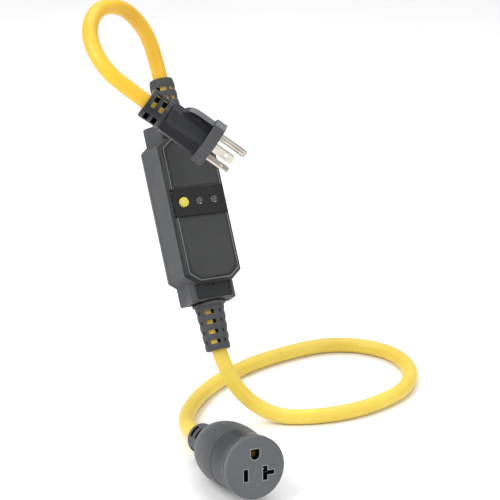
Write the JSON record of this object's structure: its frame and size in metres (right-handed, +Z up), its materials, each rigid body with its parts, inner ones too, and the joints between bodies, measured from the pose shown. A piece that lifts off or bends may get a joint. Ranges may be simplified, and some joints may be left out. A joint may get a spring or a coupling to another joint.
{
  "type": "in-line ground fault cord set",
  "caption": "Heavy yellow power cord set with a moulded blade plug, an in-line octagonal protection module with a test button, and a round moulded connector.",
  "frame": {"origin": "middle of the footprint of plug, module and connector, at floor level", "axes": "+Z up from the floor, -Y towards the viewer of the connector's face, +X to that viewer's right"},
  "size_m": [0.2207, 0.2321, 0.2634],
  "materials": {
    "shell_grey": "fine textured dark grey moulded housing",
    "panel_black": "smooth satin black panel",
    "button_yellow": "satin yellow button",
    "label_dark": "plain dark label film",
    "lens_smoke": "glossy smoked lens",
    "led_clear": "clear epoxy",
    "seal_rubber": "black seal rubber",
    "relief_grey": "grey moulded flexible strain relief",
    "plug_black": "semi-gloss black moulded plug",
    "connector_grey": "mid grey moulded connector",
    "cord_yellow": "satin yellow cord jacket",
    "blade_brass": "nickel-tinted brass",
    "contact_brass": "stamped brass",
    "screw_steel": "zinc plated",
    "board_green": "green board laminate",
    "component_black": "moulded component case",
    "component_blue": "blue component coating",
    "component_cream": "pale film capacitor case",
    "core_grey": "epoxy coated ring core",
    "copper_wire": "insulated copper core"
  },
  "bodies": {
    "cord_set": {"rear_housing": "shell_grey", "front_cover": "shell_grey", "housing_gasket": "seal_rubber", "housing_screws": "screw_steel", "upper_label": "label_dark", "lower_label": "label_dark", "button_panel": "panel_black", "button_seal": "seal_rubber", "tact_switch": "component_black", "fault_lens": "lens_smoke", "load_lens": "lens_smoke", "fault_light": "led_clear", "load_light": "led_clear", "circuit_board": "board_green", "relay": "component_black", "sense_transformer": "core_grey", "ground_transformer": "core_grey", "varistor": "component_blue", "film_capacitor": "component_cream", "input_terminals": "contact_brass", "output_terminals": "contact_brass", "input_leads": "copper_wire", "output_leads": "copper_wire", "sensed_conductors": "copper_wire", "upper_strain_relief": "relief_grey", "lower_strain_relief": "relief_grey", "upper_cord_end": "cord_yellow", "lower_cord_end": "cord_yellow", "plug_body": "plug_black", "plug_strain_relief": "plug_black", "plug_cord_end": "cord_yellow", "hot_blade": "blade_brass", "neutral_blade": "blade_brass", "ground_pin": "blade_brass", "connector_body": "connector_grey", "connector_collar": "connector_grey", "connector_strain_relief": "relief_grey", "connector_cord_end": "cord_yellow", "connector_face": "connector_grey", "hot_contact": "contact_brass", "neutral_contact": "contact_brass", "ground_contact": "contact_brass", "input_cord": "cord_yellow", "output_cord": "cord_yellow"},
    "button": {"test_reset_button": "button_yellow"},
    "plunger": {"switch_plunger": "component_black"}
  },
  "joints": [
    {"name": "test_reset_slide", "type": "slide", "parent": "cord_set", "child": "button", "axis": [-0.4979, 0.6948, -0.519], "range_m": [0, 0.0015], "stiffness_N_per_m": 200},
    {"name": "plunger_slide", "type": "slide", "parent": "cord_set", "child": "plunger", "axis": [-0.4979, 0.6948, -0.519], "range_m": [0, 0.0015], "stiffness_N_per_m": 120}
  ],
  "couplings": [
    {"joint": "plunger_slide", "follows": "test_reset_slide", "ratio": 1}
  ]
}
